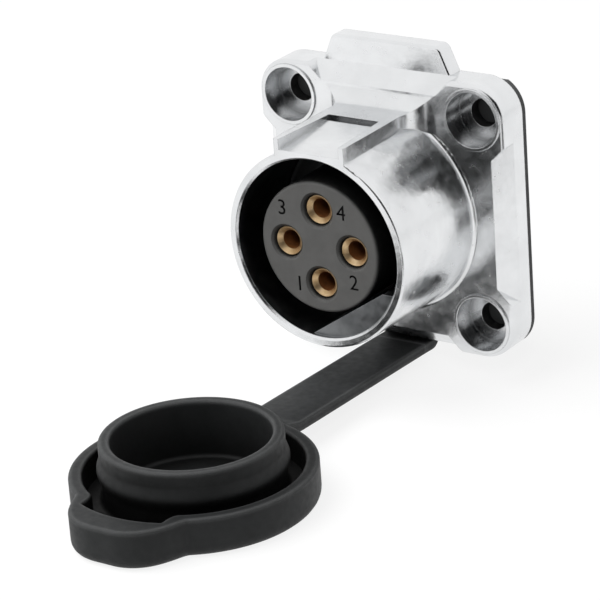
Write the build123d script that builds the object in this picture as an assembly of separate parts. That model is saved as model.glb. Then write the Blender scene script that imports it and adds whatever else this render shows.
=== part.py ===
"""Square-flange receptacle of a push-latch circular power connector, with a strapped rubber dust cap.

Frame: X to the right along the flange, Z up, the mouth faces -Y. The origin is the centre of the
panel-side mounting plane, so everything in front of the panel has a negative Y. Millimetres.
"""

import os
from math import acos, atan2, cos, degrees, hypot, pi, radians, sin

from build123d import *

# Mounting flange
HOLE_PITCH = 25.0
HOLE_EDGE = 4.2
HOLE_D = 3.4
COUNTERBORE_D = 6.6
COUNTERBORE_DEPTH = 2.8
COUNTERBORE_RIM_W = 0.4
COUNTERBORE_RIM_H = 0.2
FLANGE_T = 4.2
FLANGE_EDGE_ROUND = 0.5
EDGE_CHAMFER_W = 1.9
EDGE_CHAMFER_D = 2.0
CORNER_PAD_W = 8.9
GASKET_T = 0.7

# Tab on the top edge of the flange
TAB_RISE = 3.2
TAB_ROOT_W = 17.4
TAB_TOP_W = 14.6
TAB_CORNER_R = 1.0
TAB_EDGE_ROUND = 0.35

# Shell and its mouth
INSERT_D = 15.84
PLUG_GAP = 2.83
SHELL_WALL = 1.1
SHELL_L = 14.7
SHELL_DRAFT = 0.25
SHELL_FILLET_R = 0.55
RIM_ROUND = 0.3
MOUTH_BEVEL = 0.25
BORE_DEPTH = 11.4
WEB_T = 2.0

# Latch channel on top of the shell
CHANNEL_FRONT_W = 8.2
CHANNEL_BACK_W = 6.8
CHANNEL_CUT = 0.45
RIB_T = 0.6
RIB_RISE = 0.95
RAIL_FOOT_R = 0.8
RAIL_RAMP_R = 2.0
RAIL_FLARE_R = 3.0
LATCH_STEP_Y = 5.2
LATCH_STEP_H = 0.35
CATCH_SLOT_W = 0.8
CATCH_SLOT_DEPTH = 0.8

# Polarising key on the bore wall
KEY_FIT = 0.2
KEY_ANGLE = -57.0
KEY_TOP_BELOW_AXIS = 4.3
KEY_SETBACK = 0.7

# Rear sleeve behind the panel
SLEEVE_TAIL = 4.6
SLEEVE_WALL = 1.4
COLLAR_STEP = 1.6
SLEEVE_LEAD_IN = 0.4
GASKET_REGISTER = 0.5

# Contact insulators
INSERT_RECESS = 0.84
INSERT_EDGE_ROUND = 0.4
INSERT_FIT = 0.15
COLLAR_L = 3.4
REAR_INSULATOR_L = 5.6
O_RING_SECTION_D = 1.2
O_RING_FIT = 0.05

# Socket contacts
CONTACT_COUNT = 4
CONTACT_CIRCLE_D = 8.9
CONTACT_D = 3.5
CONTACT_BORE_D = 2.3
CONTACT_BORE_DEPTH = 8.0
CONTACT_RECESS = 0.5
CONTACT_FIT = 0.1
CONTACT_LIP = 0.5
CONTACT_EDGE = 0.08
CONTACT_COLLAR_D = 4.5
CONTACT_COLLAR_L = 1.4
CONTACT_TAIL_D = 2.4
CONTACT_DISH = 0.35
SOLDER_CUP_D = 3.0
SOLDER_CUP_BORE_D = 2.2
SOLDER_CUP_L = 6.6
SOLDER_CUP_DEPTH = 5.0
SOLDER_CUP_OPENING = 3.5

# Retaining ring behind the rear insulator
RING_T = 1.0
RING_W = 1.5
RING_GROOVE_DEPTH = 0.5
RING_FIT = 0.1
RING_GAP = 3.2
RING_LUG_D = 2.2
RING_LUG_HOLE_D = 1.0

# Seal on the floor of the plug gap
SEAL_T = 1.2
SEAL_FIT = 0.15

# Rubber sheet behind the flange and its strap
GASKET_TOP_TRIM = 0.6
STRAP_W = 6.9
STRAP_T = 1.2
STRAP_DROP = 1.3
HINGE_FIT = 0.15
SLEEVE_HOLE_FIT = 0.2

# Dust cap, lying open upwards in front of the flange
CAP_DISTANCE = 45.4
CAP_TOP_Z = -15.8
CAP_H = 4.6
CAP_FLOOR_T = 1.4
CAP_BOTTOM_ROUND = 1.3
CAP_EDGE_ROUND = 0.3
CUP_RISE = 3.65
CUP_WALL = 1.3
CUP_FIT = 0.55
CUP_BEAD_H = 0.45
CUP_BEAD_HALF = 1.6
CUP_BEAD_R = 2.5
CUP_BEAD_BELOW_RIM = 3.2
GROOVE_FIT = 0.35
SKIRT_WALL = 1.55
RAIL_POCKET_FIT = 0.5
LOBE_WALL = 1.5
LOBE_LIP = 3.25
LOBE_CORNER_R = 5.5
LOBE_BLEND_R = 6.0
NECK_GAP = 0.9
NECK_DROP = 0.7

# How far cuts and joined blocks run past the faces they meet
OVERRUN = 1.0

# Levels along Y
GASKET_FRONT = -GASKET_T
FLANGE_FRONT = GASKET_FRONT - FLANGE_T
MOUTH = FLANGE_FRONT - SHELL_L
BORE_FLOOR = MOUTH + BORE_DEPTH
WEB_BACK = BORE_FLOOR + WEB_T
COLLAR_BACK = WEB_BACK + COLLAR_L
REAR_BACK = COLLAR_BACK + REAR_INSULATOR_L
RING_BACK = REAR_BACK + RING_T + RING_FIT
SLEEVE_END = RING_BACK + SLEEVE_TAIL
INSERT_FACE = MOUTH + INSERT_RECESS
CONTACT_FACE = INSERT_FACE + CONTACT_RECESS
O_RING_Y = (WEB_BACK + COLLAR_BACK) / 2
LATCH_STEP = FLANGE_FRONT - LATCH_STEP_Y

# Radii and half widths that the pieces share
FLANGE_HALF = HOLE_PITCH / 2 + HOLE_EDGE
INSERT_R = INSERT_D / 2
BORE_R = INSERT_R + PLUG_GAP
SHELL_R = BORE_R + SHELL_WALL
SHELL_ROOT_R = SHELL_R + SHELL_DRAFT
CAVITY_R = INSERT_R + COLLAR_STEP
COLLAR_R = CAVITY_R - INSERT_FIT
SLEEVE_R = CAVITY_R + SLEEVE_WALL
GROOVE_R = CAVITY_R + RING_GROOVE_DEPTH
RIB_TOP = SHELL_R + RIB_RISE
CHANNEL_FLOOR = SHELL_R - CHANNEL_CUT
RAIL_HALF = CHANNEL_FRONT_W / 2 + RIB_T
CHAMFER_INNER = FLANGE_HALF - EDGE_CHAMFER_W
POCKET_R = hypot(RAIL_HALF, RIB_TOP) + RAIL_POCKET_FIT
POCKET_HALF = RAIL_HALF + RAIL_POCKET_FIT

# Flex lines of the strap, as points in the YZ plane
ROOT_Y = -STRAP_T / 2
ROOT_Z = -FLANGE_HALF - STRAP_DROP
CUP_R = BORE_R - CUP_FIT
SKIRT_INNER_R = SHELL_R + GROOVE_FIT
SKIRT_R = SKIRT_INNER_R + SKIRT_WALL
NECK_Y = -CAP_DISTANCE + SKIRT_R + NECK_GAP
NECK_Z = CAP_TOP_Z - NECK_DROP - STRAP_T / 2
STUB_REACH = STRAP_T / 2 + HINGE_FIT


def at(y):
    """Sketch plane across the connector at this Y: sketch x is X, sketch y is Z, extrusion goes to -Y."""
    return Plane.XZ.offset(-y)


def bar(sketch, y_front, y_back):
    """Solid with this outline in X and Z, from y_back forward to y_front."""
    return extrude(at(y_back) * sketch, y_back - y_front)


def turned(*points):
    """Solid of revolution about Y from a closed profile of (radius, y) points."""
    return revolve(make_face(Polyline(*points, close=True)), Axis.Y)


def rounded_corner(face, corner, radius):
    """The sketch with the corner nearest to this point rounded."""
    return fillet(face.vertices().sort_by_distance((*corner, 0))[0], radius)


def side_profile(face, half_width):
    """Solid with this outline in Y and Z, from -half_width to half_width along X."""
    return extrude(Plane.YZ * face, half_width, both=True)


def plan_profile(face, height):
    """Solid with this outline in X and Y, from Z = 0 up to this height."""
    return extrude(face, height)


def flange_outline():
    return RectangleRounded(2 * FLANGE_HALF, 2 * FLANGE_HALF, HOLE_EDGE)


def hole_places():
    return GridLocations(HOLE_PITCH, HOLE_PITCH, 2, 2)


def edge_chamfer_cut():
    """Sloped cut between two corner pads on the right edge, with mitred ends."""
    depth_per_width = EDGE_CHAMFER_D / EDGE_CHAMFER_W
    reach = EDGE_CHAMFER_W + OVERRUN
    inner_half = FLANGE_HALF - CORNER_PAD_W
    outer_half = inner_half + reach
    wedge = make_face(
        Polyline(
            (CHAMFER_INNER, FLANGE_FRONT),
            (CHAMFER_INNER + reach, FLANGE_FRONT),
            (CHAMFER_INNER + reach, FLANGE_FRONT + reach * depth_per_width),
            close=True,
        )
    )
    footprint = make_face(
        Polyline(
            (CHAMFER_INNER, -inner_half),
            (CHAMFER_INNER + reach, -outer_half),
            (CHAMFER_INNER + reach, outer_half),
            (CHAMFER_INNER, inner_half),
            close=True,
        )
    )
    block = bar(footprint, FLANGE_FRONT - OVERRUN, FLANGE_FRONT + reach * depth_per_width)
    return extrude(wedge, outer_half, both=True) & block


def flange():
    """Rounded square plate with counterbore rims, chamfered edges and the bare top tab."""
    plate = bar(flange_outline(), FLANGE_FRONT, GASKET_FRONT)
    front_edges = plate.faces().sort_by(Axis.Y)[0].edges()
    plate = fillet(front_edges, FLANGE_EDGE_ROUND)
    rim = Circle(COUNTERBORE_D / 2 + COUNTERBORE_RIM_W)
    for place in hole_places():
        plate = plate + bar(place * rim, FLANGE_FRONT - COUNTERBORE_RIM_H, FLANGE_FRONT + FLANGE_T / 2)
    for quarter in range(4):
        plate = plate - edge_chamfer_cut().rotate(Axis.Y, 90 * quarter)
    return plate + tab()


def tab():
    """Trapezoid tab whose face is level with the foot of the edge chamfer."""
    top = FLANGE_HALF + TAB_RISE
    outline = make_face(
        Polyline(
            (-TAB_ROOT_W / 2, CHAMFER_INNER),
            (TAB_ROOT_W / 2, CHAMFER_INNER),
            (TAB_ROOT_W / 2, FLANGE_HALF),
            (TAB_TOP_W / 2, top),
            (-TAB_TOP_W / 2, top),
            (-TAB_ROOT_W / 2, FLANGE_HALF),
            close=True,
        )
    )
    for side in (-1, 1):
        outline = rounded_corner(outline, (side * TAB_TOP_W / 2, top), TAB_CORNER_R)
    plate = bar(outline, FLANGE_FRONT + EDGE_CHAMFER_D, GASKET_FRONT)
    front_edges = plate.faces().sort_by(Axis.Y)[0].edges().filter_by_position(
        Axis.Z, FLANGE_HALF, top, inclusive=(False, True)
    )
    return fillet(front_edges, TAB_EDGE_ROUND)


def shell():
    """Slightly drafted tube from the flange to the mouth, solid until the bore is cut."""
    foot_r = SHELL_ROOT_R + SHELL_FILLET_R + OVERRUN
    profile = make_face(
        Polyline(
            (0, MOUTH),
            (SHELL_R, MOUTH),
            (SHELL_ROOT_R, FLANGE_FRONT),
            (foot_r, FLANGE_FRONT),
            (foot_r, FLANGE_FRONT + FLANGE_T / 2),
            (0, FLANGE_FRONT + FLANGE_T / 2),
            close=True,
        )
    )
    profile = rounded_corner(profile, (SHELL_ROOT_R, FLANGE_FRONT), SHELL_FILLET_R)
    profile = rounded_corner(profile, (SHELL_R, MOUTH), RIM_ROUND)
    return revolve(profile, Axis.Y)


def latch_rail():
    """Block of the two ribs, flared where it runs into the flange face; the channel is cut later."""
    foot = BORE_R - RIB_RISE
    top = RIB_TOP + RAIL_RAMP_R
    half = RAIL_HALF + RAIL_FLARE_R
    back = FLANGE_FRONT + FLANGE_T / 2
    ramp_start = (FLANGE_FRONT - RAIL_RAMP_R, RIB_TOP)
    outline = make_face(
        [
            Polyline(
                (FLANGE_FRONT, top),
                (back, top),
                (back, foot),
                (MOUTH, foot),
                (MOUTH, RIB_TOP),
                ramp_start,
            ),
            TangentArc(ramp_start, (FLANGE_FRONT, top), tangent=(1, 0)),
        ]
    )
    flare_start = FLANGE_FRONT - RAIL_FLARE_R
    plan = make_face(
        [
            Polyline(
                (-RAIL_HALF, flare_start),
                (-RAIL_HALF, MOUTH),
                (RAIL_HALF, MOUTH),
                (RAIL_HALF, flare_start),
            ),
            TangentArc((RAIL_HALF, flare_start), (half, FLANGE_FRONT), tangent=(0, 1)),
            Polyline((half, FLANGE_FRONT), (half, back), (-half, back), (-half, FLANGE_FRONT)),
            TangentArc((-RAIL_HALF, flare_start), (-half, FLANGE_FRONT), tangent=(0, 1)),
        ]
    )
    return side_profile(outline, half) & plan_profile(plan, top)


def rail_foot():
    """Fillets along the outside of the ribs, where they stand on the shell."""
    foot_half = RAIL_HALF + 2 * RAIL_FOOT_R
    section = Circle(SHELL_R) + Pos(0, RIB_TOP / 2) * Rectangle(2 * RAIL_HALF, RIB_TOP)
    for side in (-1, 1):
        section = rounded_corner(section, (side * RAIL_HALF, SHELL_R), RAIL_FOOT_R)
    section = section & Pos(0, RIB_TOP / 2) * Rectangle(2 * foot_half, RIB_TOP)
    return bar(section, MOUTH + RIM_ROUND, FLANGE_FRONT + FLANGE_T / 2)


def latch_channel_cut():
    """Space above the rising channel floor between the ribs, and the catch slot behind it."""
    front = MOUTH - OVERRUN
    above = RIB_TOP + OVERRUN
    ledge = RIB_TOP - LATCH_STEP_H
    floor = make_face(
        Polyline(
            (front, CHANNEL_FLOOR),
            (LATCH_STEP, ledge),
            (LATCH_STEP, above),
            (front, above),
            close=True,
        )
    )
    plan = make_face(
        Polyline(
            (-CHANNEL_FRONT_W / 2, front),
            (CHANNEL_FRONT_W / 2, front),
            (CHANNEL_BACK_W / 2, LATCH_STEP),
            (-CHANNEL_BACK_W / 2, LATCH_STEP),
            close=True,
        )
    )
    channel = side_profile(floor, CHANNEL_FRONT_W / 2) & plan_profile(plan, above)
    slot = make_face(
        Polyline(
            (LATCH_STEP - CATCH_SLOT_W, ledge - CATCH_SLOT_DEPTH),
            (LATCH_STEP + CATCH_SLOT_W / 2, ledge - CATCH_SLOT_DEPTH),
            (LATCH_STEP, RIB_TOP),
            (LATCH_STEP - CATCH_SLOT_W, RIB_TOP),
            close=True,
        )
    )
    return channel + side_profile(slot, CHANNEL_BACK_W / 2)


def housing_bore():
    """Everything turned out of the housing, from the mouth to the rear of the sleeve."""
    return turned(
        (0, MOUTH - OVERRUN),
        (BORE_R + MOUTH_BEVEL, MOUTH - OVERRUN),
        (BORE_R + MOUTH_BEVEL, MOUTH),
        (BORE_R, MOUTH + MOUTH_BEVEL),
        (BORE_R, BORE_FLOOR),
        (INSERT_R + INSERT_FIT, BORE_FLOOR),
        (INSERT_R + INSERT_FIT, WEB_BACK),
        (CAVITY_R, WEB_BACK),
        (CAVITY_R, REAR_BACK),
        (GROOVE_R, REAR_BACK),
        (GROOVE_R, RING_BACK),
        (CAVITY_R, RING_BACK),
        (CAVITY_R, SLEEVE_END - SLEEVE_LEAD_IN),
        (CAVITY_R + SLEEVE_LEAD_IN, SLEEVE_END),
        (CAVITY_R + SLEEVE_LEAD_IN, SLEEVE_END + OVERRUN),
        (0, SLEEVE_END + OVERRUN),
    )


def polarising_key():
    """Rib with a flat inner side and a level top: it lets the plug in one way and holds the seal down."""
    disc = Circle(BORE_R + SHELL_WALL / 2)
    block = Rectangle(2 * SHELL_R, 2 * SHELL_R)
    beyond_side = Rot(0, 0, KEY_ANGLE) * Pos(INSERT_R + KEY_FIT + SHELL_R, 0) * block
    below_top = Pos(0, -KEY_TOP_BELOW_AXIS - SHELL_R) * block
    return bar(disc & beyond_side & below_top, MOUTH + KEY_SETBACK, BORE_FLOOR - SEAL_T - SEAL_FIT)


def receptacle_housing():
    """One die-casting: flange, tab, shell, latch rail and rear sleeve."""
    sleeve = turned(
        (0, GASKET_FRONT - FLANGE_T / 2),
        (SLEEVE_R + GASKET_REGISTER, GASKET_FRONT - FLANGE_T / 2),
        (SLEEVE_R + GASKET_REGISTER, 0),
        (SLEEVE_R, 0),
        (SLEEVE_R, SLEEVE_END - SLEEVE_LEAD_IN),
        (SLEEVE_R - SLEEVE_LEAD_IN, SLEEVE_END),
        (0, SLEEVE_END),
    )
    body = flange() + shell() + latch_rail() + rail_foot() + sleeve
    body = body - latch_channel_cut() - housing_bore()
    counterbores = [
        bar(place * Circle(COUNTERBORE_D / 2), FLANGE_FRONT - OVERRUN, FLANGE_FRONT + COUNTERBORE_DEPTH)
        for place in hole_places()
    ]
    holes = [bar(place * Circle(HOLE_D / 2), FLANGE_FRONT, 0) for place in hole_places()]
    return body - counterbores - holes + polarising_key()


def contact_places():
    """Places of the contacts' axes, numbered from the top one."""
    circle = PolarLocations(CONTACT_CIRCLE_D / 2, CONTACT_COUNT, 90, rotate=False)
    return [Pos(spot.position.X, 0, spot.position.Y) for spot in circle]


def front_insulator():
    """Moulded insert that stands in the mouth, with its collar seated on the housing's web."""
    profile = make_face(
        Polyline(
            (0, INSERT_FACE),
            (INSERT_R, INSERT_FACE),
            (INSERT_R, WEB_BACK),
            (COLLAR_R, WEB_BACK),
            (COLLAR_R, COLLAR_BACK),
            (0, COLLAR_BACK),
            close=True,
        )
    )
    profile = rounded_corner(profile, (INSERT_R, INSERT_FACE), INSERT_EDGE_ROUND)
    insert = revolve(profile, Axis.Y)
    hole_r = CONTACT_D / 2 + CONTACT_FIT
    hole = turned(
        (0, INSERT_FACE - OVERRUN),
        (hole_r + CONTACT_DISH, INSERT_FACE - OVERRUN),
        (hole_r + CONTACT_DISH, INSERT_FACE),
        (hole_r, INSERT_FACE + CONTACT_DISH),
        (hole_r, COLLAR_BACK - CONTACT_COLLAR_L),
        (CONTACT_COLLAR_D / 2 + CONTACT_FIT, COLLAR_BACK - CONTACT_COLLAR_L),
        (CONTACT_COLLAR_D / 2 + CONTACT_FIT, COLLAR_BACK + OVERRUN),
        (0, COLLAR_BACK + OVERRUN),
    )
    for place in contact_places():
        insert = insert - place * hole
    return insert - o_ring_groove()


def o_ring_groove():
    """Groove round the collar for its sealing ring."""
    half = O_RING_SECTION_D / 2 + O_RING_FIT
    floor = CAVITY_R - 2 * half
    return turned(
        (floor, O_RING_Y - half),
        (CAVITY_R, O_RING_Y - half),
        (CAVITY_R, O_RING_Y + half),
        (floor, O_RING_Y + half),
    )


def insulator_o_ring():
    centre_r = CAVITY_R - O_RING_FIT - O_RING_SECTION_D / 2
    return revolve(Pos(centre_r, O_RING_Y) * Circle(O_RING_SECTION_D / 2), Axis.Y)


def rear_insulator():
    """Disc that traps the contact collars and is held by the retaining ring."""
    disc = turned((0, COLLAR_BACK), (COLLAR_R, COLLAR_BACK), (COLLAR_R, REAR_BACK), (0, REAR_BACK))
    tail = turned(
        (0, COLLAR_BACK - OVERRUN),
        (CONTACT_TAIL_D / 2 + CONTACT_FIT, COLLAR_BACK - OVERRUN),
        (CONTACT_TAIL_D / 2 + CONTACT_FIT, REAR_BACK + OVERRUN),
        (0, REAR_BACK + OVERRUN),
    )
    for place in contact_places():
        disc = disc - place * tail
    return disc


def socket_contact():
    """Turned contact on the Y axis: closed socket, trapped collar, tail and solder cup."""
    r = CONTACT_D / 2
    bore_r = CONTACT_BORE_D / 2
    cup_r = SOLDER_CUP_D / 2
    cup_bore_r = SOLDER_CUP_BORE_D / 2
    cup_front = REAR_BACK + CONTACT_FIT
    cup_end = cup_front + SOLDER_CUP_L
    body = turned(
        (0, CONTACT_FACE + CONTACT_BORE_DEPTH + bore_r),
        (bore_r, CONTACT_FACE + CONTACT_BORE_DEPTH),
        (bore_r, CONTACT_FACE + CONTACT_LIP),
        (bore_r + CONTACT_LIP, CONTACT_FACE),
        (r - CONTACT_EDGE, CONTACT_FACE),
        (r, CONTACT_FACE + CONTACT_EDGE),
        (r, COLLAR_BACK - CONTACT_COLLAR_L),
        (CONTACT_COLLAR_D / 2, COLLAR_BACK - CONTACT_COLLAR_L),
        (CONTACT_COLLAR_D / 2, COLLAR_BACK),
        (CONTACT_TAIL_D / 2, COLLAR_BACK),
        (CONTACT_TAIL_D / 2, cup_front),
        (cup_r, cup_front),
        (cup_r, cup_end),
        (cup_bore_r, cup_end),
        (cup_bore_r, cup_end - SOLDER_CUP_DEPTH),
        (0, cup_end - SOLDER_CUP_DEPTH),
    )
    scoop = Pos(0, cup_r) * Rectangle(SOLDER_CUP_D, SOLDER_CUP_D)
    return body - bar(scoop, cup_end - SOLDER_CUP_OPENING, cup_end + OVERRUN)


def retaining_ring():
    """Open spring ring with two drilled lugs, sitting in the groove of the rear sleeve."""
    outer = GROOVE_R - RING_FIT
    inner = outer - RING_W
    lug_r = inner - RING_LUG_D / 2 + RING_W / 2
    lug_angle = degrees(atan2(RING_GAP / 2 + RING_LUG_D / 2, lug_r))
    ring = Circle(outer) - Circle(inner)
    ring = ring - Pos(0, -outer) * Rectangle(RING_GAP, 2 * (RING_W + OVERRUN))
    for side in (-1, 1):
        angle = radians(-90 + side * lug_angle)
        place = Pos(lug_r * cos(angle), lug_r * sin(angle))
        ring = ring + place * Circle(RING_LUG_D / 2) - place * Circle(RING_LUG_HOLE_D / 2)
    return bar(ring, REAR_BACK, REAR_BACK + RING_T)


def interface_seal():
    """Flat rubber ring on the floor of the plug gap, under the polarising key."""
    section = Circle(BORE_R - SEAL_FIT) - Circle(INSERT_R + SEAL_FIT)
    return bar(section, BORE_FLOOR - SEAL_T, BORE_FLOOR)


def flange_gasket():
    """Rubber sheet behind the flange, with the stub that the strap flexes on."""
    sheet = flange_outline() - Circle(SLEEVE_R + GASKET_REGISTER + SLEEVE_HOLE_FIT)
    for place in hole_places():
        sheet = sheet - place * Circle(HOLE_D / 2)
    sheet = sheet - Pos(0, FLANGE_HALF) * Rectangle(2 * FLANGE_HALF, 2 * GASKET_TOP_TRIM)
    stub_foot = ROOT_Z + STUB_REACH
    stub_h = -FLANGE_HALF - stub_foot + HOLE_EDGE
    sheet = sheet + Pos(0, stub_foot + stub_h / 2) * Rectangle(STRAP_W, stub_h)
    return bar(sheet, GASKET_FRONT, 0)


def cap_strap():
    """Flat strap between the two flex lines, with a half-round end on each."""
    length = hypot(NECK_Y - ROOT_Y, NECK_Z - ROOT_Z)
    slope = degrees(atan2(NECK_Z - ROOT_Z, NECK_Y - ROOT_Y))
    middle = Pos((ROOT_Y + NECK_Y) / 2, (ROOT_Z + NECK_Z) / 2)
    outline = middle * Rot(0, 0, slope) * SlotCenterToCenter(length, STRAP_T)
    return side_profile(outline, STRAP_W / 2)


def point_on(centre, radius, angle):
    return Vector(centre) + radius * Vector(cos(angle), sin(angle))


def arc(centre, radius, start_angle, end_angle):
    """Arc between two angles in radians, the shorter way round."""
    angles = (start_angle, (start_angle + end_angle) / 2, end_angle)
    return ThreePointArc(*[point_on(centre, radius, angle) for angle in angles])


def cap_outline():
    """Skirt circle run by tangent arcs into the finger lobe over the latch rail, about the cap's axis."""
    lobe_reach = POCKET_R + LOBE_LIP
    corner = Vector(POCKET_HALF + LOBE_WALL - LOBE_CORNER_R, LOBE_CORNER_R - lobe_reach)
    to_blend = SKIRT_R + LOBE_BLEND_R
    corner_to_blend = LOBE_CORNER_R + LOBE_BLEND_R
    spread = acos((to_blend**2 + corner.length**2 - corner_to_blend**2) / (2 * to_blend * corner.length))
    skirt_end = atan2(corner.Y, corner.X) + spread
    blend = point_on((0, 0), to_blend, skirt_end)
    corner_end = atan2(blend.Y - corner.Y, blend.X - corner.X)
    half = [
        Line((0, -lobe_reach), (corner.X, -lobe_reach)),
        arc(corner, LOBE_CORNER_R, -pi / 2, corner_end),
        arc(blend, LOBE_BLEND_R, corner_end + pi, skirt_end + pi),
        arc((0, 0), SKIRT_R, skirt_end, pi / 2),
    ]
    return make_face(half + [mirror(edge, about=Plane.YZ) for edge in half])


def dust_cap():
    """Moulded cap: plug cup with a sealing bead, a groove for the shell's rim, the skirt and its lobe."""
    bottom = CAP_TOP_Z - CAP_H
    floor = bottom + CAP_FLOOR_T
    cup_top = CAP_TOP_Z + CUP_RISE
    bead = cup_top - CUP_BEAD_BELOW_RIM
    body = extrude(Plane.XY.offset(bottom) * cap_outline(), CAP_H)
    body = fillet(body.faces().sort_by(Axis.Z)[0].edges(), CAP_BOTTOM_ROUND)
    body = fillet(body.faces().sort_by(Axis.Z)[-1].edges(), CAP_EDGE_ROUND)
    pocket = Circle(POCKET_R) & Pos(0, -POCKET_R / 2) * Rectangle(2 * POCKET_HALF, POCKET_R)
    groove = Circle(SKIRT_INNER_R) + pocket
    body = body - extrude(Plane.XY.offset(floor) * groove, CAP_H)
    cup_profile = make_face(
        Polyline(
            (CUP_R - CUP_WALL, floor - CAP_FLOOR_T / 2),
            (CUP_R, floor - CAP_FLOOR_T / 2),
            (CUP_R, bead - CUP_BEAD_HALF),
            (CUP_R + CUP_BEAD_H, bead),
            (CUP_R, bead + CUP_BEAD_HALF),
            (CUP_R, cup_top),
            (CUP_R - CUP_WALL, cup_top),
            close=True,
        )
    )
    cup_profile = rounded_corner(cup_profile, (CUP_R + CUP_BEAD_H, bead), CUP_BEAD_R)
    cup_profile = rounded_corner(cup_profile, (CUP_R, cup_top), CAP_EDGE_ROUND)
    body = body + revolve(Plane.XZ * cup_profile, Axis.Z)
    neck_front = NECK_Y + CAP_DISTANCE - STUB_REACH
    neck = Pos(0, neck_front / 2 + SKIRT_INNER_R / 2) * Rectangle(STRAP_W, neck_front - SKIRT_INNER_R)
    body = body + extrude(Plane.XY.offset(NECK_Z - STRAP_T / 2) * neck, STRAP_T)
    return Pos(0, -CAP_DISTANCE, 0) * body


def main():
    os.makedirs("parts", exist_ok=True)
    pieces = {
        "receptacle_housing": receptacle_housing(),
        "front_insulator": front_insulator(),
        "rear_insulator": rear_insulator(),
        "insulator_o_ring": insulator_o_ring(),
        "retaining_ring": retaining_ring(),
        "interface_seal": interface_seal(),
        "flange_gasket": flange_gasket(),
        "cap_strap": cap_strap(),
        "dust_cap": dust_cap(),
    }
    contact = socket_contact()
    for number, place in enumerate(contact_places(), start=1):
        pieces[f"socket_contact_{number}"] = place * contact
    for name, piece in pieces.items():
        export_step(piece, f"parts/{name}.step")


if __name__ == "__main__":
    main()
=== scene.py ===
"""Finish of a square-flange connector receptacle with its strapped rubber dust cap.

Metres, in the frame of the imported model: X to the right along the flange, Z up, the mouth faces -Y.
"""

import math

import bmesh
import bpy
from mathutils import Matrix, Vector


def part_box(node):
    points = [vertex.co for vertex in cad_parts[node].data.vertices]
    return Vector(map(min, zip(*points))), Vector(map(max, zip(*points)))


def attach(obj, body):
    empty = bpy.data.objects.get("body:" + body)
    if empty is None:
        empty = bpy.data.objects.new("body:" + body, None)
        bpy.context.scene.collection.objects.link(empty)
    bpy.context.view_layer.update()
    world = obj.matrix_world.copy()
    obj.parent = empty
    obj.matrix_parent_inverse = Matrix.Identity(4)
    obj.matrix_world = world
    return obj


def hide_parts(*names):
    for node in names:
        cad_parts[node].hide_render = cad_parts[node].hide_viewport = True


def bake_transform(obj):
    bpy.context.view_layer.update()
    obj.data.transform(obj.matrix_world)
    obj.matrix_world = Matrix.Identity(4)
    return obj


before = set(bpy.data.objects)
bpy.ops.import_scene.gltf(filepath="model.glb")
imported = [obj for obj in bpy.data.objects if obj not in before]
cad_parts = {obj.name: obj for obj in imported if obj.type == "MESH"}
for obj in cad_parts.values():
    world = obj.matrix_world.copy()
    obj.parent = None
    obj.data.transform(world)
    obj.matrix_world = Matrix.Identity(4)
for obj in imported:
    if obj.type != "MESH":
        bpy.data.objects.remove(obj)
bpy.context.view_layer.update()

MM = 0.001

# Camera, found from the flange holes and the round edges of the mouth
CAMERA_AZIMUTH = math.radians(35.616)
CAMERA_ELEVATION = math.radians(21.891)
CAMERA_ROLL = math.radians(-4.298)
CAMERA_DISTANCE = 363.797 * MM
CAMERA_SIDE = -9.928 * MM
CAMERA_RISE = -10.715 * MM
CAMERA_FOCUS = Vector((0, -4.9 * MM, 0))
CAMERA_LENS = 186.93
CAMERA_NEAR = 0.01
CAMERA_FAR = 20.0
SENSOR_WIDTH = 36.0

# Lamps, surroundings and the dark cards that only reflections show
LIT_MIDDLE = Vector((0, -20, -5)) * MM
KEY_PLACE = Vector((-0.27, -0.27, 0.6))
KEY_SIZE = 0.75
KEY_POWER = 5.2
FILL_PLACE = Vector((0.27, -0.39, 0.37))
FILL_SIZE = 0.12
FILL_POWER = 0.5
WORLD_LIT = 0.2
WORLD_SEEN = 1.0
FLOOR_SIZE = 8
FLOOR_DROP = 0.05 * MM
FLOOR_GREY = (0.2, 0.2, 0.2, 1)
FLOOR_SEEN = 0.84
CARD_GREY = (0.02, 0.02, 0.021, 1)
FRONT_CARD_PLACE = Vector((64, -119, 57)) * MM
FRONT_CARD_TARGET = Vector((0, -5, 57)) * MM
FRONT_CARD_SIZE = (170 * MM, 126 * MM)
FLOOR_CARD_XY = (0.062, -0.09)
FLOOR_CARD_RISE = 0.2 * MM
FLOOR_CARD_SIZE = (66 * MM, 86 * MM)

# Shading shared by the materials
NOISE_LOW = 0.3
NOISE_HIGH = 0.7
OCCLUSION_SAMPLES = 6
BEVEL_SAMPLES = 4
BROAD_FACE = 0.97
OUTER_EDGE = 0.7
SQUARE_ON = 0.999
RUBBER_CREASE = math.radians(40)
PLASTIC_CREASE = math.radians(30)

# Dust cap, as seen from above, with its axis on Z
CAP_AXIS_Y = -45.4 * MM
CAP_STEPS = 720
ROUND_STEPS = 6
UNDERSIDE_SHARES = (0.35, 0.7)
CAP_BOTTOM_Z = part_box("dust_cap")[0].z
CUP_TOP_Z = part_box("dust_cap")[1].z
SKIRT_TOP_Z = -15.8 * MM
SKIRT_R = 13.75 * MM
SKIRT_BOTTOM_ROUND = 1.3 * MM
SKIRT_EDGE_ROUND = 0.35 * MM
LOBE_REACH = 17.38 * MM
LOBE_CORNER_R = 5.5 * MM
LOBE_HALF_FLAT = 1.2 * MM
LOBE_BLEND = 2.4 * MM
GROOVE_R = 12.2 * MM
GROOVE_FLOOR_Z = CAP_BOTTOM_Z + 1.4 * MM
POCKET_HALF = 5.2 * MM
POCKET_R = 14.13 * MM
POCKET_BLEND = 1.6 * MM
CUP_R = 10.2 * MM
CUP_WALL = 1.3 * MM
CUP_RIM_ROUND = 0.35 * MM
CUP_FOOT_ROUND = 0.5 * MM
BEAD_Z = CUP_TOP_Z - 3.2 * MM
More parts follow.
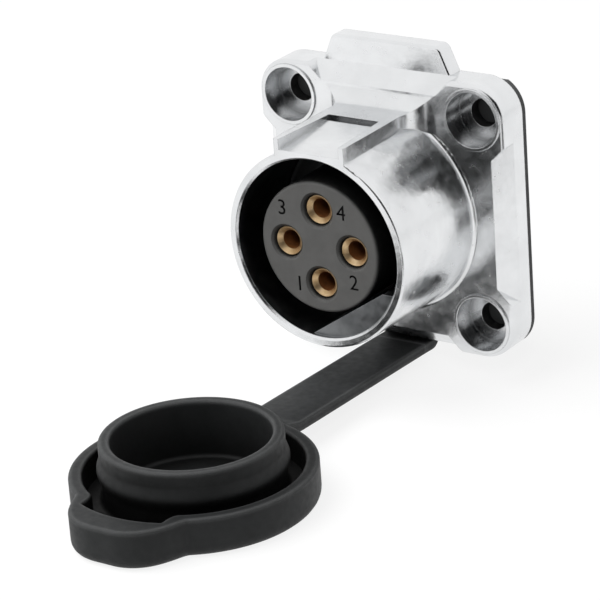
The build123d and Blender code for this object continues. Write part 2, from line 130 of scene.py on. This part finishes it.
BEAD_H = 0.4 * MM
BEAD_HALF = 1.6 * MM
BEAD_STEPS = 8

# Strap between the flange gasket and the cap
STRAP_HALF_W = 3.45 * MM
STRAP_HALF_T = 0.6 * MM
STRAP_EDGE_ROUND = 0.22 * MM
STRAP_EDGE_STEPS = 3
STRAP_ROOT = Vector((0, -0.6, -18.0)) * MM
STRAP_NECK = Vector((0, -30.75, -17.1)) * MM
STRAP_BEND_R = 1.0 * MM
STRAP_BEND_STEPS = 12
STRAP_STEPS = 48
STRAP_SEAM = 0.085
NECK_BEND = 1.6 * MM
NECK_STEPS = 16

# Bolt holes in the flange
HOLE_PITCH = 25.0 * MM
HOLE_R = 1.7 * MM
WEB_R = 2.2 * MM
WEB_T = 0.3 * MM
WEB_SETBACK = 0.1 * MM
WEB_STEPS = 48

# Mouth of the housing and bores of the contacts
BORE_R = 10.75 * MM
BORE_START_Y = -19.3 * MM
BORE_END_Y = -8.0 * MM
CONTACT_BORE_R = 1.15 * MM
WALL_SLACK = 0.02 * MM

# Numerals beside the contacts, as places on the insert's face
NUMERALS = {"1": (-3.07, -4.94), "2": (4.42, -3.7), "3": (-4.79, 4.11), "4": (3.3, 4.59)}
NUMERAL_HEIGHT = 1.85 * MM
NUMERAL_DEPTH = 0.25 * MM
NUMERAL_CURVE_STEPS = 4
FONT_SIZE_PER_HEIGHT = 1.4


class Graph:
    """The nodes of one material, with a short way to add and join them."""

    def __init__(self, name):
        self.material = bpy.data.materials.new(name)
        self.material.use_nodes = True
        self.tree = self.material.node_tree
        self.shader = self.tree.nodes["Principled BSDF"]
        self.place = self.node("TexCoord").outputs["Object"]

    def node(self, kind, inputs=None, **settings):
        made = self.tree.nodes.new("ShaderNode" + kind)
        for name, value in settings.items():
            setattr(made, name, value)
        for socket, value in (inputs or {}).items():
            self.feed(made.inputs[socket], value)
        return made

    def feed(self, socket, value):
        if isinstance(value, bpy.types.NodeSocket):
            self.tree.links.new(value, socket)
        else:
            socket.default_value = value

    def finish(self, **inputs):
        """Sets the shader's own sockets; an underscore in a name stands for a space."""
        for name, value in inputs.items():
            self.feed(self.shader.inputs[name.replace("_", " ")], value)
        return self.material

    def noise(self, feature, detail=3.0):
        """Noise whose features are about this long, in metres."""
        inputs = {"Vector": self.place, "Scale": 1 / feature, "Detail": detail}
        return self.node("TexNoise", inputs).outputs[0]

    def spread(self, value, low, high):
        """A noise value, which stays near the middle, drawn out between two numbers."""
        inputs = {"Value": value, "From Min": NOISE_LOW, "From Max": NOISE_HIGH}
        return self.node("MapRange", {**inputs, "To Min": low, "To Max": high}).outputs["Result"]

    def tint(self, value, dark, light):
        """A noise value drawn out between two colours."""
        ramp = self.node("ValToRGB", {"Fac": value})
        ramp.color_ramp.elements[0].color = (*dark, 1)
        ramp.color_ramp.elements[1].color = (*light, 1)
        ramp.color_ramp.elements[0].position = NOISE_LOW
        ramp.color_ramp.elements[1].position = NOISE_HIGH
        return ramp.outputs["Color"]

    def bump(self, height, depth, strength, under=None):
        inputs = {"Height": height, "Distance": depth, "Strength": strength}
        if under is not None:
            inputs["Normal"] = under
        return self.node("Bump", inputs).outputs["Normal"]

    def mix(self, share, low, high):
        mixer = self.node("Mix", {0: share, 6: low, 7: high}, data_type="RGBA")
        return mixer.outputs[2]

    def openness(self, reach, **settings):
        settings["samples"] = OCCLUSION_SAMPLES
        return self.node("AmbientOcclusion", {"Distance": reach}, **settings).outputs["AO"]

    def open_share(self, reach, low, high, alone=True):
        """Zero in hollows about this deep, one where the surface lies open; the mask of painted shade."""
        inputs = {"Value": self.openness(reach, only_local=alone), "From Min": low, "From Max": high}
        return self.node("MapRange", inputs).outputs["Result"]

    def edge_share(self, reach):
        """One along outer edges, where little lies behind the surface, zero on broad faces; the mask of
        the rubber's painted highlight.
        """
        behind = self.openness(reach, inside=True, only_local=True)
        inputs = {"Value": behind, "From Min": BROAD_FACE, "From Max": OUTER_EDGE}
        return self.node("MapRange", inputs).outputs["Result"]

    def both(self, first, second):
        return self.node("Math", {0: first, 1: second}, operation="MULTIPLY").outputs[0]

    def soft_edges(self, radius):
        return self.node("Bevel", {"Radius": radius}, samples=BEVEL_SAMPLES).outputs["Normal"]


def plated_casting():
    """Bright plating over a die casting, with a faint orange-peel surface, and painted shade that darkens
    its hollows.
    """
    g = Graph("plated_casting")
    waves = g.noise(2.2 * MM)
    grain = g.noise(0.18 * MM, 4.0)
    normal = g.bump(waves, 0.06 * MM, 0.6, g.soft_edges(0.14 * MM))
    normal = g.bump(grain, 0.006 * MM, 0.4, normal)
    return g.finish(
        # Painted shade: hollows about 5 mm deep are mixed towards a dark grey.
        Base_Color=g.mix(
            g.open_share(5 * MM, 0.2, 0.62),
            (0.16, 0.164, 0.168, 1),
            g.tint(g.noise(5 * MM), (0.74, 0.75, 0.76), (0.82, 0.83, 0.84)),
        ),
        Metallic=1.0,
        Roughness=g.spread(g.noise(1.2 * MM), 0.16, 0.28),
        Normal=normal,
    )


def black_rubber():
    """Matt moulded rubber with a fine grain, with a painted highlight along its edges and painted shade
    in its hollows.
    """
    g = Graph("black_rubber")
    grain = g.noise(0.12 * MM, 4.0)
    sag = g.noise(4 * MM, 2.0)
    normal = g.bump(sag, 0.08 * MM, 0.4, g.soft_edges(0.12 * MM))
    normal = g.bump(grain, 0.012 * MM, 0.5, normal)
    return g.finish(
        Base_Color=g.mix(
            # Painted shade: hollows are mixed towards near black.
            g.open_share(8 * MM, 0.5, 0.98),
            (0.0015, 0.0015, 0.0015, 1),
            # Painted highlight: a pale grey is mixed in along outer edges.
            g.mix(
                g.edge_share(0.6 * MM),
                g.tint(g.noise(3 * MM, 5.0), (0.017, 0.018, 0.0185), (0.023, 0.0245, 0.025)),
                (0.10, 0.102, 0.103, 1),
            ),
        ),
        Roughness=g.spread(g.noise(0.8 * MM), 0.5, 0.62),
        Specular_IOR_Level=0.3,
        Normal=normal,
    )


def insulator_plastic():
    """Dark grey glass-filled plastic, with painted shade in its numerals, at the foot of the contacts and
    in its other hollows.
    """
    g = Graph("insulator_plastic")
    # Painted shade: hollows, the numerals and the contacts' dishes among them, are mixed towards near
    # black.
    broad_painted_shade = g.open_share(4 * MM, 0.7, 0.9, alone=False)
    close_painted_shade = g.open_share(0.7 * MM, 0.5, 0.95, alone=False)
    normal = g.bump(g.noise(0.15 * MM, 4.0), 0.01 * MM, 0.5, g.soft_edges(0.12 * MM))
    return g.finish(
        Base_Color=g.mix(
            g.both(broad_painted_shade, close_painted_shade),
            (0.004, 0.004, 0.004, 1),
            g.tint(g.noise(1.5 * MM, 5.0), (0.155, 0.154, 0.150), (0.180, 0.179, 0.174)),
        ),
        Roughness=g.spread(g.noise(0.5 * MM), 0.5, 0.64),
        Specular_IOR_Level=0.25,
        Normal=normal,
    )


def gold_plated_contact():
    """Thin gold over copper alloy, with turning marks along the barrel and painted shade towards its
    bore.
    """
    g = Graph("gold_plated_contact")
    stretch = g.node("Mapping", {"Vector": g.place, "Scale": (0.2, 6.0, 0.2)}).outputs["Vector"]
    marks = g.node("TexNoise", {"Vector": stretch, "Scale": 1 / MM, "Detail": 3.0}).outputs[0]
    normal = g.bump(marks, 0.01 * MM, 0.4, g.soft_edges(0.06 * MM))
    return g.finish(
        Base_Color=g.mix(
            # Painted shade: hollows are mixed towards dark brown.
            g.open_share(1.2 * MM, 0.62, 1.0),
            (0.06, 0.025, 0.01, 1),
            g.tint(g.noise(1.0 * MM), (0.64, 0.44, 0.23), (0.84, 0.63, 0.38)),
        ),
        Metallic=1.0,
        Roughness=g.spread(marks, 0.36, 0.46),
        Normal=normal,
    )


def bolt_hole_painted_shade():
    """Near-black colour on the walls of the bolt holes, painted shade."""
    g = Graph("bolt_hole_painted_shade")
    normal = g.bump(g.noise(0.2 * MM, 4.0), 0.02 * MM, 0.5)
    return g.finish(
        Base_Color=g.tint(g.noise(0.6 * MM), (0.03, 0.03, 0.03), (0.06, 0.06, 0.06)),
        Metallic=0.5,
        Roughness=g.spread(g.noise(0.5 * MM), 0.55, 0.7),
        Normal=normal,
    )


def shaded_bore():
    """Plating darkened in the bore as painted shade."""
    g = Graph("shaded_bore")
    normal = g.bump(g.noise(0.6 * MM), 0.02 * MM, 0.5, g.soft_edges(0.1 * MM))
    return g.finish(
        Base_Color=g.tint(g.noise(2 * MM, 4.0), (0.20, 0.208, 0.215), (0.32, 0.33, 0.338)),
        Metallic=1.0,
        Roughness=g.spread(g.noise(1.0 * MM), 0.3, 0.42),
        Normal=normal,
    )


def contact_bore():
    """Browned copper alloy inside the sockets."""
    g = Graph("contact_bore")
    normal = g.bump(g.noise(0.15 * MM), 0.01 * MM, 0.5)
    return g.finish(
        Base_Color=g.tint(g.noise(0.7 * MM), (0.20, 0.075, 0.025), (0.33, 0.135, 0.045)),
        Metallic=0.3,
        Roughness=g.spread(g.noise(0.4 * MM), 0.3, 0.45),
        Normal=normal,
    )


def spring_steel():
    """Oiled dark steel of the retaining ring."""
    g = Graph("spring_steel")
    normal = g.bump(g.noise(0.3 * MM), 0.01 * MM, 0.4, g.soft_edges(0.08 * MM))
    return g.finish(
        Base_Color=g.tint(g.noise(1.5 * MM, 4.0), (0.16, 0.16, 0.17), (0.26, 0.26, 0.27)),
        Metallic=1.0,
        Roughness=g.spread(g.noise(0.6 * MM), 0.28, 0.42),
        Normal=normal,
    )


def add_piece(name, mesh):
    piece = bpy.data.objects.new(name, mesh)
    bpy.context.scene.collection.objects.link(piece)
    return piece


def lofted(name, rings):
    """Closed skin over rings of as many points each; a ring of one point closes an end."""
    skin = bmesh.new()
    rows = [[skin.verts.new(point) for point in ring] for ring in rings]
    for lower, upper in zip(rows, rows[1:]):
        count = max(len(lower), len(upper))
        for i in range(count):
            j = (i + 1) % count
            below = [lower[i % len(lower)], lower[j % len(lower)]]
            above = [upper[j % len(upper)], upper[i % len(upper)]]
            skin.faces.new(dict.fromkeys(below + above))
    bmesh.ops.recalc_face_normals(skin, faces=skin.faces)
    mesh = bpy.data.meshes.new(name)
    skin.to_mesh(mesh)
    skin.free()
    mesh.shade_smooth()
    return add_piece(name, mesh)


def welded_copy(node, name):
    """A copy of a CAD node with its split corners joined, ready to be cut or added to."""
    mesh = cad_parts[node].data.copy()
    skin = bmesh.new()
    skin.from_mesh(mesh)
    bmesh.ops.remove_doubles(skin, verts=skin.verts, dist=0.0005 * MM)
    skin.to_mesh(mesh)
    skin.free()
    mesh.name = name
    return add_piece(name, mesh)


def combine(piece, other, operation):
    """Joins another mesh to the piece or cuts it away, and removes the other."""
    step = piece.modifiers.new(operation.lower(), "BOOLEAN")
    step.operation = operation
    step.solver = "EXACT"
    step.object = other
    graph = bpy.context.evaluated_depsgraph_get()
    mesh = bpy.data.meshes.new_from_object(piece.evaluated_get(graph))
    piece.modifiers.clear()
    piece.data = mesh
    bpy.data.objects.remove(other)


def crease(piece, angle):
    """Smooth shading with sharp edges past this angle."""
    piece.data.shade_smooth()
    piece.data.set_sharp_from_angle(angle=angle)


def flatten_broad_faces(piece):
    """Flat shading on faces square to the plug's axis, so that no corner tints them."""
    for face in piece.data.polygons:
        if abs(face.normal.y) > SQUARE_ON:
            face.use_smooth = False


def smooth_max(a, b, blend):
    """The larger of two lengths, rounded off where they are nearly equal."""
    share = max(blend - abs(a - b), 0) / blend
    return max(a, b) + share * share * blend / 4


def lobe_radius(across, along):
    """Distance from the cap's axis to the lobe's edge; along is the direction's share towards the tip."""
    if along <= 0:
        return 0.0
    flat = LOBE_REACH / along
    if flat * abs(across) <= LOBE_HALF_FLAT:
        return flat
    centre = (LOBE_HALF_FLAT, LOBE_REACH - LOBE_CORNER_R)
    middle = abs(across) * centre[0] + along * centre[1]
    beside = abs(across) * centre[1] - along * centre[0]
    inside = LOBE_CORNER_R**2 - beside**2
    return middle + math.sqrt(inside) if inside > 0 else 0.0


def pocket_radius(across, along):
    """Distance from the cap's axis to the wall of the latch-rail pocket."""
    if along <= 0:
        return 0.0
    return min(POCKET_R, POCKET_HALF / max(abs(across), 1e-6))


def cap_directions():
    turns = [math.tau * i / CAP_STEPS for i in range(CAP_STEPS)]
    return [(math.sin(turn), math.cos(turn)) for turn in turns]


def outline(radius_of, inner, blend):
    """Plan points of a round edge joined with another edge, as (x, y) about the cap's axis."""
    points = []
    for across, along in cap_directions():
        radius = smooth_max(inner, radius_of(across, along), blend)
        points.append(Vector((radius * across, -radius * along)))
    return points


def inset(points, distance):
    """The outline moved inwards by a distance, square to its edge."""
    moved = []
    for i, point in enumerate(points):
        along = points[(i + 1) % len(points)] - points[i - 1]
        normal = Vector((along.y, -along.x)).normalized()
        if normal.dot(point) < 0:
            normal.negate()
        moved.append(point - normal * distance)
    return moved


def quarter_round(radius):
    """Pairs (inset, depth) of a rounded edge, from the face at full inset to the wall."""
    turns = [math.pi / 2 * i / ROUND_STEPS for i in range(ROUND_STEPS + 1)]
    return [(radius * (1 - math.sin(t)), radius * (1 - math.cos(t))) for t in turns]


def cap_ring(points, z):
    return [Vector((p.x, CAP_AXIS_Y + p.y, z)) for p in points]


def cap_rings():
    """Rings over the whole cap, from the middle of its underside to the middle of the cup's floor."""
    skirt = outline(lobe_radius, SKIRT_R, LOBE_BLEND)
    groove = outline(pocket_radius, GROOVE_R, POCKET_BLEND)
    circle = [Vector((across, -along)) for across, along in cap_directions()]
    rings = [[Vector((0, CAP_AXIS_Y, CAP_BOTTOM_Z))]]
    for share in UNDERSIDE_SHARES:
        rings.append(cap_ring([p * share for p in skirt], CAP_BOTTOM_Z))
    for step_in, step_up in quarter_round(SKIRT_BOTTOM_ROUND):
        rings.append(cap_ring(inset(skirt, step_in), CAP_BOTTOM_Z + step_up))
    for step_in, step_up in reversed(quarter_round(SKIRT_EDGE_ROUND)):
        rings.append(cap_ring(inset(skirt, step_in), SKIRT_TOP_Z - step_up))
    for step_in, step_up in quarter_round(SKIRT_EDGE_ROUND):
        rings.append(cap_ring(inset(groove, -step_in), SKIRT_TOP_Z - step_up))
    rings.append(cap_ring(groove, GROOVE_FLOOR_Z))
    for radius, z in cup_profile():
        rings.append(cap_ring([p * radius for p in circle], z))
    rings.append([Vector((0, CAP_AXIS_Y, GROOVE_FLOOR_Z))])
    return rings


def cup_profile():
    """Section of the plug cup as (radius, z), from the groove's floor over the rim to its own floor."""
    profile = []
    for step_in, step_up in quarter_round(CUP_FOOT_ROUND):
        profile.append((CUP_R + step_in, GROOVE_FLOOR_Z + step_up))
    for i in range(-BEAD_STEPS, BEAD_STEPS + 1):
        share = i / BEAD_STEPS
        bulge = BEAD_H * math.cos(math.pi / 2 * share) ** 2
        profile.append((CUP_R + bulge, BEAD_Z + BEAD_HALF * share))
    for step_in, step_down in reversed(quarter_round(CUP_RIM_ROUND)):
        profile.append((CUP_R - step_in, CUP_TOP_Z - step_down))
    inner = CUP_R - CUP_WALL
    for step_in, step_down in quarter_round(CUP_RIM_ROUND):
        profile.append((inner + step_in, CUP_TOP_Z - step_down))
    for step_in, step_up in reversed(quarter_round(CUP_FOOT_ROUND)):
        profile.append((inner - step_in, GROOVE_FLOOR_Z + step_up))
    return profile


def strap_section(centre, across, normal):
    """Rounded rectangle across the strap at a point of its centre line."""
    points = []
    corner_w = STRAP_HALF_W - STRAP_EDGE_ROUND
    corner_t = STRAP_HALF_T - STRAP_EDGE_ROUND
    for side_w, side_t, start in ((1, 1, 0), (-1, 1, 90), (-1, -1, 180), (1, -1, 270)):
        for step in range(STRAP_EDGE_STEPS + 1):
            turn = math.radians(start + 90 * step / STRAP_EDGE_STEPS)
            w = side_w * corner_w + STRAP_EDGE_ROUND * math.cos(turn)
            t = side_t * corner_t + STRAP_EDGE_ROUND * math.sin(turn)
            points.append(centre + across * w + normal * t)
    return points


def strap(name, path):
    """Strip of the strap's section along points of the YZ plane."""
    across = Vector((1, 0, 0))
    rings = []
    for i, point in enumerate(path):
        along = (path[min(i + 1, len(path) - 1)] - path[max(i - 1, 0)]).normalized()
        rings.append(strap_section(point, across, along.cross(across)))
    return lofted(name, [[path[0]], *rings, [path[-1]]])


def strap_seam():
    """Where the gasket's short tail meets the cap's strap, out of sight under the flange."""
    return STRAP_ROOT.lerp(STRAP_NECK, STRAP_SEAM)


def points_between(start, end, steps):
    return [start.lerp(end, i / steps) for i in range(steps + 1)]


def rear_strap_path():
    """Down out of the gasket, round the bend under the flange, and along to the strap's seam."""
    centre = STRAP_ROOT + Vector((0, -STRAP_BEND_R, STRAP_BEND_R))
    path = []
    for i in range(STRAP_BEND_STEPS):
        turn = math.pi / 2 * i / STRAP_BEND_STEPS
        path.append(centre + Vector((0, math.cos(turn), -math.sin(turn))) * STRAP_BEND_R)
    bend_end = centre - Vector((0, 0, STRAP_BEND_R))
    return path + points_between(bend_end, strap_seam(), STRAP_STEPS)


def front_strap_path():
    """From the strap's seam into the top of the cap's skirt."""
    end = Vector((0, CAP_AXIS_Y + GROOVE_R + SKIRT_EDGE_ROUND, SKIRT_TOP_Z - STRAP_HALF_T))
    low = STRAP_NECK + (strap_seam() - STRAP_NECK).normalized() * NECK_BEND
    path = points_between(strap_seam(), low, STRAP_STEPS)
    for i in range(1, NECK_STEPS + 1):
        share = i / NECK_STEPS
        point = low.lerp(end, share)
        point.z = low.z + (end.z - low.z) * share * share * (3 - 2 * share)
        path.append(point)
    return path


def bolt_web(x, z):
    """Thin rubber taken to lie across a bolt hole, for the screw to pierce."""
    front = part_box("flange_gasket")[0].y + WEB_SETBACK
    turns = [math.tau * i / WEB_STEPS for i in range(WEB_STEPS)]
    rings = [[Vector((x, front, z))]]
    for y in (front, front + WEB_T):
        rings.append([Vector((x + WEB_R * math.cos(t), y, z + WEB_R * math.sin(t))) for t in turns])
    rings.append([Vector((x, front + WEB_T, z))])
    return lofted("bolt_web", rings)


def gasket_with_strap():
    """The gasket with its webs and the strap's tail, which bends under the flange."""
    piece = welded_copy("flange_gasket", "gasket_and_strap")
    combine(piece, strap("strap_tail", rear_strap_path()), "UNION")
    for x in (-HOLE_PITCH / 2, HOLE_PITCH / 2):
        for z in (-HOLE_PITCH / 2, HOLE_PITCH / 2):
            combine(piece, bolt_web(x, z), "UNION")
    crease(piece, RUBBER_CREASE)
    flatten_broad_faces(piece)
    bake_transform(piece)
    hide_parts("flange_gasket")
    return piece


def cap_with_strap():
    """The cap with the rest of the strap, which bends at the cap's neck."""
    piece = lofted("cap_and_strap", cap_rings())
    combine(piece, strap("strap_neck", front_strap_path()), "UNION")
    crease(piece, RUBBER_CREASE)
    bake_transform(piece)
    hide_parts("dust_cap", "cap_strap")
    return piece


def numeral_mesh(text, x, z, face_y):
    """Solid numeral that stands through the insert's face."""
    letter = bpy.data.curves.new("numeral_" + text, "FONT")
    letter.body = text
    letter.size = NUMERAL_HEIGHT * FONT_SIZE_PER_HEIGHT
    letter.extrude = NUMERAL_DEPTH
    letter.align_x = "CENTER"
    letter.align_y = "CENTER"
    letter.resolution_u = NUMERAL_CURVE_STEPS
    shaped = bpy.data.objects.new("numeral_shape", letter)
    bpy.context.scene.collection.objects.link(shaped)
    graph = bpy.context.evaluated_depsgraph_get()
    mesh = bpy.data.meshes.new_from_object(shaped.evaluated_get(graph))
    bpy.data.objects.remove(shaped)
    mesh.transform(Matrix.Translation((x, face_y, z)) @ Matrix.Rotation(math.pi / 2, 4, "X"))
    return add_piece("numeral_" + text, mesh)


def marked_insulator():
    """The front insulator with a sunk numeral beside each contact."""
    piece = welded_copy("front_insulator", "marked_insulator")
    face_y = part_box("front_insulator")[0].y
    for text, (x, z) in NUMERALS.items():
        combine(piece, numeral_mesh(text, x * MM, z * MM, face_y), "DIFFERENCE")
    crease(piece, PLASTIC_CREASE)
    flatten_broad_faces(piece)
    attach(piece, "receptacle")
    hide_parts("front_insulator")
    return piece


def dress(piece, material):
    piece.data.materials.clear()
    piece.data.materials.append(material)


def dress_housing_hollows():
    """Painted shade: near-black walls in the bolt holes and darkened plating in the bore."""
    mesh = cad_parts["receptacle_housing"].data
    mesh.materials.append(bolt_hole_painted_shade())
    mesh.materials.append(shaded_bore())
    for face in mesh.polygons:
        across = abs(face.center.x) - HOLE_PITCH / 2
        up = abs(face.center.z) - HOLE_PITCH / 2
        from_axis = math.hypot(face.center.x, face.center.z)
        if math.hypot(across, up) < HOLE_R:
            face.material_index = 1
        elif from_axis < BORE_R + WALL_SLACK and BORE_START_Y < face.center.y < BORE_END_Y:
            face.material_index = 2


def dress_contact_bores():
    """Browned alloy in the front bore of each contact."""
    browned = contact_bore()
    for node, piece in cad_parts.items():
        if not node.startswith("socket_contact"):
            continue
        low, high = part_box(node)
        middle = (low + high) / 2
        piece.data.materials.append(browned)
        for face in piece.data.polygons:
            from_axis = math.hypot(face.center.x - middle.x, face.center.z - middle.z)
            if from_axis < CONTACT_BORE_R + WALL_SLACK and face.center.y < middle.y:
                face.material_index = 1


def dress_all():
    rubber = black_rubber()
    plastic = insulator_plastic()
    gold = gold_plated_contact()
    finishes = {
        "receptacle_housing": plated_casting(),
        "rear_insulator": plastic,
        "retaining_ring": spring_steel(),
        "insulator_o_ring": rubber,
        "interface_seal": rubber,
    }
    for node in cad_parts:
        if node.startswith("socket_contact"):
            finishes[node] = gold
    for node, material in finishes.items():
        dress(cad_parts[node], material)
    dress_housing_hollows()
    dress_contact_bores()
    dress(gasket_with_strap(), rubber)
    dress(cap_with_strap(), rubber)
    dress(marked_insulator(), plastic)


def seen_directly(tree):
    """One for rays from the camera and for those that a mirror or glass passes on, else zero."""
    path = tree.nodes.new("ShaderNodeLightPath")
    first = tree.nodes.new("ShaderNodeMath")
    first.operation = "MAXIMUM"
    tree.links.new(path.outputs["Is Camera Ray"], first.inputs[0])
    tree.links.new(path.outputs["Is Glossy Ray"], first.inputs[1])
    both = tree.nodes.new("ShaderNodeMath")
    both.operation = "MAXIMUM"
    tree.links.new(first.outputs[0], both.inputs[0])
    tree.links.new(path.outputs["Is Transmission Ray"], both.inputs[1])
    return both.outputs[0]


def build_world():
    world = bpy.data.worlds.new("studio")
    bpy.context.scene.world = world
    world.use_nodes = True
    tree = world.node_tree
    background = tree.nodes["Background"]
    background.inputs["Color"].default_value = (1, 1, 1, 1)
    level = tree.nodes.new("ShaderNodeMapRange")
    level.inputs["To Min"].default_value = WORLD_LIT
    level.inputs["To Max"].default_value = WORLD_SEEN
    tree.links.new(seen_directly(tree), level.inputs["Value"])
    tree.links.new(level.outputs["Result"], background.inputs["Strength"])


def matt(name, colour):
    """Material without gloss, for what stands round the object."""
    material = bpy.data.materials.new(name)
    material.use_nodes = True
    shader = material.node_tree.nodes["Principled BSDF"]
    shader.inputs["Base Color"].default_value = colour
    shader.inputs["Roughness"].default_value = 1.0
    shader.inputs["Specular IOR Level"].default_value = 0.0
    return material


def aim(holder, place, target):
    """Puts a lamp or a card at a place, facing a target."""
    holder.location = place
    holder.rotation_euler = (target - place).to_track_quat("-Z", "Y").to_euler()


def build_floor():
    """Pale floor that takes the object's shadow and is seen nearly white."""
    bpy.ops.mesh.primitive_plane_add(size=FLOOR_SIZE, location=(0, 0, CAP_BOTTOM_Z - FLOOR_DROP))
    floor = bpy.context.object
    floor.name = "floor"
    material = matt("pale_floor", FLOOR_GREY)
    tree = material.node_tree
    shader = tree.nodes["Principled BSDF"]
    shader.inputs["Emission Color"].default_value = (1, 1, 1, 1)
    level = tree.nodes.new("ShaderNodeMath")
    level.operation = "MULTIPLY"
    level.inputs[1].default_value = FLOOR_SEEN
    tree.links.new(seen_directly(tree), level.inputs[0])
    tree.links.new(level.outputs[0], shader.inputs["Emission Strength"])
    floor.data.materials.append(material)


def add_light(name, place, size, power):
    """Round lamp turned at the object, which reflections do not show."""
    lamp = bpy.data.lights.new(name, "AREA")
    lamp.shape = "DISK"
    lamp.size = size
    lamp.energy = power
    holder = bpy.data.objects.new(name, lamp)
    aim(holder, place, LIT_MIDDLE)
    holder.visible_glossy = False
    bpy.context.scene.collection.objects.link(holder)


def build_lights():
    add_light("key_light", KEY_PLACE, KEY_SIZE, KEY_POWER)
    add_light("fill_light", FILL_PLACE, FILL_SIZE, FILL_POWER)


def add_card(name, place, target, size):
    """Dark card that only reflections show, as a photographer's black flag."""
    half_w, half_h = size[0] / 2, size[1] / 2
    mesh = bpy.data.meshes.new(name)
    corners = [(-half_w, -half_h, 0), (half_w, -half_h, 0), (half_w, half_h, 0), (-half_w, half_h, 0)]
    mesh.from_pydata(corners, [], [(0, 1, 2, 3)])
    card = add_piece(name, mesh)
    aim(card, place, target)
    card.visible_camera = False
    card.visible_diffuse = False
    card.visible_transmission = False
    card.visible_shadow = False
    mesh.materials.append(matt(name, CARD_GREY))


def build_cards():
    add_card("front_card", FRONT_CARD_PLACE, FRONT_CARD_TARGET, FRONT_CARD_SIZE)
    low = Vector((*FLOOR_CARD_XY, CAP_BOTTOM_Z + FLOOR_CARD_RISE))
    add_card("floor_card", low, low + Vector((0, 0, 1)), FLOOR_CARD_SIZE)


def build_camera():
    """Camera at the photograph's place, level line turned by its roll."""
    flat = math.cos(CAMERA_ELEVATION)
    east, south = math.sin(CAMERA_AZIMUTH), math.cos(CAMERA_AZIMUTH)
    back = Vector((east * flat, -south * flat, math.sin(CAMERA_ELEVATION)))
    level = Vector((south, east, 0))
    upright = back.cross(level)
    right = math.cos(CAMERA_ROLL) * level + math.sin(CAMERA_ROLL) * upright
    up = back.cross(right)
    eye = CAMERA_FOCUS + CAMERA_SIDE * right + CAMERA_RISE * up + CAMERA_DISTANCE * back
    camera = bpy.data.cameras.new("camera")
    camera.lens = CAMERA_LENS
    camera.sensor_width = SENSOR_WIDTH
    camera.clip_start = CAMERA_NEAR
    camera.clip_end = CAMERA_FAR
    holder = bpy.data.objects.new("camera", camera)
    holder.matrix_world = Matrix((
        (right.x, up.x, back.x, eye.x),
        (right.y, up.y, back.y, eye.y),
        (right.z, up.z, back.z, eye.z),
        (0, 0, 0, 1),
    ))
    bpy.context.scene.collection.objects.link(holder)
    bpy.context.scene.camera = holder


dress_all()
build_world()
build_floor()
build_lights()
build_cards()
build_camera()
bpy.context.scene.view_settings.view_transform = "Standard"
